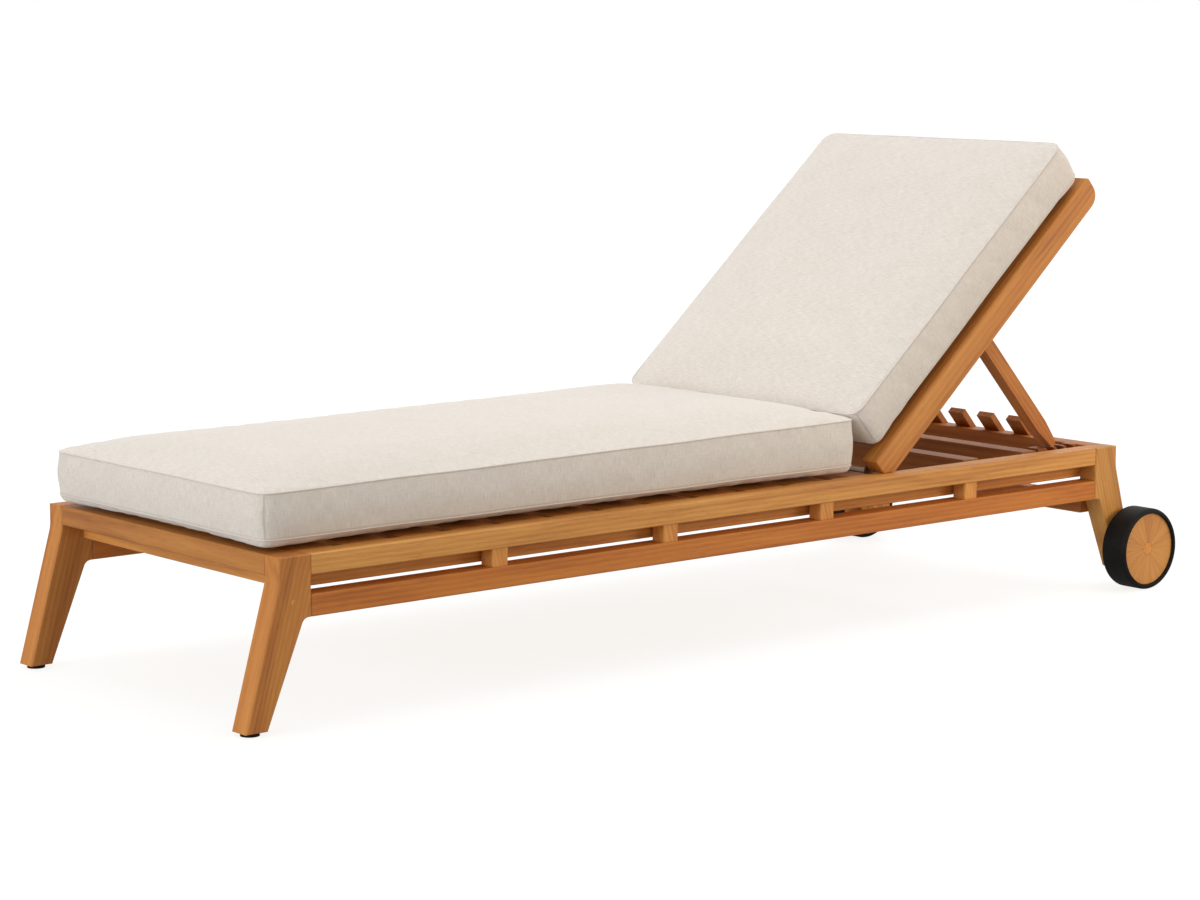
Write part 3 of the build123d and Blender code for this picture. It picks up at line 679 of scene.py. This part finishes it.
def cushionMesh(name, length, seed, rise):  # rise: how much thicker the head end is, mm
    half, low, high, corner = [cushion[k] for k in ("halfWidth", "seamLow", "seamHigh", "corner")]
    linesX, linesY = gridLines(length), gridLines(2 * half) - half
    nx, ny, nz = len(linesX) - 1, len(linesY) - 1, round((high - low) / cushion["cell"])
    keys = [(i, j, k) for k in range(nz + 1) for j in range(ny + 1) for i in range(nx + 1)
            if k in (0, nz) or i in (0, nx) or j in (0, ny)]
    lookup = {key: n for n, key in enumerate(keys)}
    grid = np.array(keys, float)
    x, y = linesX[grid[:, 0].astype(int)], linesY[grid[:, 1].astype(int)]
    z = low + grid[:, 2] / nz * (high - low + rise * x / length)
    edge = np.minimum(np.minimum(x, length - x), np.minimum(y + half, half - y))
    onEdge = edge < hair
    # corner squares are drawn in to quarter circles
    cx = np.where(x < length / 2, corner, length - corner)
    cy = np.where(y < 0, corner - half, half - corner)
    dx, dy = x - cx, y - cy
    inCorner = (dx * np.sign(x - length / 2) > 0) & (dy * np.sign(y) > 0)
    reach = np.maximum(np.maximum(abs(dx), abs(dy)), hair) / np.maximum(np.hypot(dx, dy), hair)
    x, y = np.where(inCorner, cx + dx * reach, x), np.where(inCorner, cy + dy * reach, y)
    # the crown of the top panel, the rolled edge and lift of the bottom one, the bulge of the boxing
    top, bottom = grid[:, 2] == nz, grid[:, 2] == 0
    z = np.where(top, z + sum(up * plateau(edge, width) for up, width in cushion["startCrown"]), z)
    inward = 1 - np.clip(edge / cushion["roll"], 0, 1)
    settled = np.clip((edge - cushion["roll"]) / (cushion["restFrom"] - cushion["roll"]), 0, 1)
    lift = cushion["underLift"] * (0.5 + 0.5 * np.cos(settled * math.pi))
    z = np.where(bottom, lift + (low - lift) * (1 - np.sqrt(1 - inward ** 2)), z)
    share = (z - low) / (high - low)
    swell = np.where(onEdge, cushion["sideBulge"] * np.sin(np.clip(share, 0, 1) * math.pi), 0)
    x = x + swell * np.where(grid[:, 0] == 0, -1, np.where(grid[:, 0] == nx, 1, 0))
    y = y + swell * np.where(grid[:, 1] == 0, -1, np.where(grid[:, 1] == ny, 1, 0))
    first, second, third = cushion["wanderLengths"]
    wander = np.sin(x / first + seed) * np.sin(y / second + seed * 2)
    wander = wander + cushion["wanderShare"] * np.sin((x + y) / third + seed * 3)
    z = np.where(onEdge, z + wander * cushion["wander"], z)
    # faces and the cloth's map: two panels, then the boxing round them
    walk = ([(i, 0) for i in range(nx)] + [(nx, j) for j in range(ny)]
            + [(i, ny) for i in range(nx, 0, -1)] + [(0, j) for j in range(ny, 0, -1)])
    steps = np.array([[x[lookup[(i, j, nz)]], y[lookup[(i, j, nz)]]] for i, j in walk + walk[:1]])
    along = np.concatenate([[0], np.cumsum(np.hypot(*np.diff(steps, axis=0).T))])
    faces, uvs = [], []
    for k, level in ((nz, 1), (0, -1)):
        for j in range(ny):
            for i in range(nx):
                ring = [(i, j, k), (i + 1, j, k), (i + 1, j + 1, k), (i, j + 1, k)][::level]
                faces.append([lookup[c] for c in ring])
                uvs += [(x[lookup[c]] * mm, y[lookup[c]] * mm + level) for c in ring]
    apart = cushion["uvApart"]
    for n, (i, j) in enumerate(walk):
        i2, j2 = walk[(n + 1) % len(walk)]
        for k in range(nz):
            ring = [(i, j, k, n), (i2, j2, k, n + 1), (i2, j2, k + 1, n + 1), (i, j, k + 1, n)]
            faces.append([lookup[c[:3]] for c in ring])
            uvs += [(along[c[3]] * mm + apart, z[lookup[c[:3]]] * mm + apart) for c in ring]
    mesh = bpy.data.meshes.new(name)
    mesh.from_pydata([tuple(p) for p in np.stack([x, y, z], 1) * mm], [], faces)
    mesh.uv_layers.new(name="weave").data.foreach_set("uv", np.array(uvs, np.float32).ravel())
    # how far each point of the cloth is from a seam, below zero on the two panels, and from a corner
    above = grid[:, 2] / nz * (high - low)
    seamAway = np.where(onEdge, np.minimum(above, high - low - above), -edge)
    marks = [0, along[nx], along[nx + ny], along[2 * nx + ny], along[-1]]
    cornerAway = np.zeros(len(keys))
    for n, (i, j) in enumerate(walk):
        for k in range(nz + 1):
            cornerAway[lookup[(i, j, k)]] = min(abs(along[n] - m) for m in marks)
    cornerAway = np.where(onEdge, cornerAway, np.maximum(edge, cushion["cornerClear"]))
    markPoints(mesh, "seamAway", seamAway * mm)
    markPoints(mesh, "cornerAway", cornerAway * mm)
    # the seams: two loops round the boxing, and its four corners
    corners = ((0, 0), (nx, 0), (nx, ny), (0, ny))
    loops = [[lookup[(i, j, k)] for i, j in walk] for k in (nz, 0)]
    stitchRow = [(lookup[(i, j, 0)], lookup[(i, j, 1)]) for i, j in walk]
    posts = [[lookup[(i, j, k)] for k in range(nz + 1)] for i, j in corners]
    seamPoints = {n for line in loops + posts for n in line}
    seamEdges = {frozenset(pair) for loop in loops for pair in zip(loop, loop[1:] + loop[:1])}
    seamEdges |= {frozenset(pair) for post in posts for pair in zip(post, post[1:])}
    creases = mesh.attributes.new("crease_edge", "FLOAT", "EDGE")
    sharp = cushion["seamCrease"]
    sharpness = [sharp if frozenset(e.vertices) in seamEdges else 0.0 for e in mesh.edges]
    creases.data.foreach_set("value", sharpness)
    return mesh, seamPoints, loops, stitchRow


def pointsOf(mesh):
    places = np.zeros(len(mesh.vertices) * 3)
    mesh.vertices.foreach_get("co", places)
    return places.reshape(-1, 3)


def inflate(pad, seamPoints):  # the cloth simulation, held at the seams
    group = pad.vertex_groups.new(name="seams")
    group.add(sorted(seamPoints), 1.0, "REPLACE")
    modifier = pad.modifiers.new("cloth", "CLOTH")
    settings, stiffness = modifier.settings, cushion["stiffness"]
    settings.quality = cushion["quality"]
    settings.mass = cushion["mass"]
    settings.tension_stiffness = settings.compression_stiffness = stiffness["tension"]
    settings.shear_stiffness = stiffness["shear"]
    settings.bending_stiffness = stiffness["bending"]
    settings.use_pressure = True
    settings.uniform_pressure_force = cushion["pressure"]
    settings.shrink_min = cushion["slack"]
    settings.vertex_group_mass = "seams"
    settings.effector_weights.gravity = 0
    modifier.collision_settings.use_collision = False
    modifier.point_cache.frame_start, modifier.point_cache.frame_end = 1, cushion["frames"]
    for step in range(1, cushion["frames"] + 1):
        bpy.context.scene.frame_set(step)
    shown = pad.evaluated_get(bpy.context.evaluated_depsgraph_get())
    before, after = pointsOf(pad.data), pointsOf(shown.data)
    move = after - before
    far = np.linalg.norm(move, axis=1, keepdims=True)
    cap = cushion["cap"] * mm
    after = before + move * cap * np.tanh(far / cap) / np.maximum(far, hair * mm)
    # the underside keeps its lift
    under = before[:, 2] < (cushion["seamLow"] - cushion["underMargin"]) * mm
    after[:, 2] = np.where(under, np.maximum(after[:, 2], before[:, 2]), after[:, 2])
    pad.modifiers.remove(modifier)
    pad.vertex_groups.clear()
    bpy.context.scene.frame_set(1)
    pad.data.vertices.foreach_set("co", after.ravel())
    pad.data.update()
    print(pad.name, "inflated, furthest point", round(float(far.max()) / mm, 1), "mm")


# the seams' own work: a thin cord of cloth along them, and stitches along the topstitched row

seamSizes = {"Cord radius": 1.2, "Stitch length": 3.2, "Stitch pitch": 4.6, "Stitch radius": 0.45}  # mm
seamSides = 6


def seamTree():
    group = bpy.data.node_groups.new("seamWork", "GeometryNodeTree")
    face = group.interface
    face.new_socket("Geometry", in_out="INPUT", socket_type="NodeSocketGeometry")
    for name, size in seamSizes.items():
        face.new_socket(name, in_out="INPUT", socket_type="NodeSocketFloat").default_value = size * mm
    for name in ("Cord material", "Stitch material"):
        face.new_socket(name, in_out="INPUT", socket_type="NodeSocketMaterial")
    face.new_socket("Geometry", in_out="OUTPUT", socket_type="NodeSocketGeometry")
    given = addNode(group, "NodeGroupInput").outputs
    end = addNode(group, "NodeGroupOutput")
    isStitch = addNode(group, "GeometryNodeInputNamedAttribute", {"data_type": "BOOLEAN", "Name": "isStitch"})
    parts = addNode(group, "GeometryNodeSeparateGeometry", {
        "domain": "POINT", "Geometry": given["Geometry"], "Selection": isStitch.outputs["Attribute"]})
    cordLine = addNode(group, "GeometryNodeMeshToCurve", {"Mesh": parts.outputs["Inverted"]})
    ring = addNode(group, "GeometryNodeCurvePrimitiveCircle", {
        "Resolution": seamSides, "Radius": given["Cord radius"]})
    cord = addNode(group, "GeometryNodeCurveToMesh", {
        "Curve": cordLine.outputs[0], "Profile Curve": ring.outputs["Curve"]})
    cordCloth = addNode(group, "GeometryNodeSetMaterial", {
        "Geometry": cord.outputs[0], "Material": given["Cord material"]})
    row = addNode(group, "GeometryNodeMeshToCurve", {"Mesh": parts.outputs["Selection"]})
    spaced = addNode(group, "GeometryNodeResampleCurve", {
        "mode": "LENGTH", "Curve": row.outputs[0], "Length": given["Stitch pitch"]})
    tangent = addNode(group, "GeometryNodeInputTangent")
    turn = addNode(group, "FunctionNodeAlignRotationToVector", {"axis": "Z", "Vector": tangent.outputs[0]})
    stitch = addNode(group, "GeometryNodeMeshCylinder", {
        "Vertices": seamSides, "Radius": given["Stitch radius"], "Depth": given["Stitch length"]})
    placed = addNode(group, "GeometryNodeInstanceOnPoints", {
        "Points": spaced.outputs[0], "Instance": stitch.outputs["Mesh"], "Rotation": turn.outputs[0]})
    real = addNode(group, "GeometryNodeRealizeInstances", {"Geometry": placed.outputs[0]})
    sewn = addNode(group, "GeometryNodeSetMaterial", {
        "Geometry": real.outputs[0], "Material": given["Stitch material"]})
    joined = addNode(group, "GeometryNodeJoinGeometry")
    group.links.new(cordCloth.outputs[0], joined.inputs[0])
    group.links.new(sewn.outputs[0], joined.inputs[0])
    group.links.new(joined.outputs[0], end.inputs[0])
    return group


seamWork = seamTree()


def plainMesh(made, name):  # the evaluated object as one plain mesh, its modifiers gone
    bpy.context.view_layer.update()
    shown = made.evaluated_get(bpy.context.evaluated_depsgraph_get())
    mesh = bpy.data.meshes.new_from_object(shown)
    mesh.name = name
    made.modifiers.clear()
    made.data = mesh


def sewSeams(name, places, loops, stitchRow):  # two cords, and a stitched row a little above the lower one
    points, edges, isStitch = [], [], []
    share = cloth["stitchFrom"] / cushion["cell"]
    lines = [([tuple(places[n]) for n in loop], False) for loop in loops]
    lines.append(([tuple(places[low] * (1 - share) + places[high] * share) for low, high in stitchRow], True))
    for line, stitched in lines:
        start = len(points)
        points += line
        isStitch += [stitched] * len(line)
        edges += [(start + n, start + (n + 1) % len(line)) for n in range(len(line))]
    mesh = bpy.data.meshes.new(name)
    mesh.from_pydata(points, edges, [])
    mesh.attributes.new("isStitch", "BOOLEAN", "POINT").data.foreach_set("value", isStitch)
    seams = newObject(name, mesh)
    modifier = seams.modifiers.new("seamWork", "NODES")
    modifier.node_group = seamWork
    materials = {"Cord material": linen, "Stitch material": thread}
    for item in seamWork.interface.items_tree:
        if item.in_out == "INPUT" and item.name in materials:
            modifier[item.identifier] = materials[item.name]
    plainMesh(seams, name)
    for mark in ("seamAway", "cornerAway"):  # the cord itself gets no painted crease shade
        markPoints(seams.data, mark, [1.0] * len(seams.data.vertices))
    return seams


def makeCushion(name, cadNode, body, place, length, seed, rise):
    mesh, seamPoints, loops, stitchRow = cushionMesh(name, length, seed, rise)
    pad = newObject(name, mesh)
    inflate(pad, seamPoints)
    modifier = pad.modifiers.new("finer", "SUBSURF")
    modifier.levels = modifier.render_levels = 1
    plainMesh(pad, name)
    pad.data.polygons.foreach_set("use_smooth", [True] * len(pad.data.polygons))
    seams = sewSeams(name + "Seams", pointsOf(pad.data), loops, stitchRow)
    pad.data.materials.clear()
    pad.data.materials.append(linen)
    for piece in (pad, seams):
        piece.data.transform(place)
        piece.data.update()
        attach(piece, body)
    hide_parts(cadNode)
    print(name, "ready:", len(pad.data.polygons), "faces")


covers = {
    "endGap": 3,  # mm, the seat cover's ends from the CAD solid's, and how far the back's starts before it
    "seat": {"seed": 1.0, "rise": 9.0},
    "back": {"seed": 4.0, "rise": 0.0},
}
endGap = covers["endGap"]

seatLow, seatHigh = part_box("seat_cushion")
seatPlace = Matrix.Translation((seatLow.x + endGap * mm, 0, seatLow.z))
seatLength = (seatHigh.x - seatLow.x) / mm - 2 * endGap
makeCushion("seatPad", "seat_cushion", "frame", seatPlace, seatLength, **covers["seat"])

backPoints = np.array([v.co[:] for v in nodes["back_cushion"].data.vertices]) - np.array(hinge)
alongBack, offBack = backPoints @ np.array(backAlong), backPoints @ np.array(backNormal)
backOrigin = hinge + backAlong * (alongBack.min() - endGap * mm) + backNormal * offBack.min()
backTurn = Matrix((backAlong, (0, 1, 0), backNormal)).transposed().to_4x4()
backPlace = Matrix.Translation(backOrigin) @ backTurn
backLength = (alongBack.max() - alongBack.min()) / mm
makeCushion("backPad", "back_cushion", "backrest", backPlace, backLength, **covers["back"])
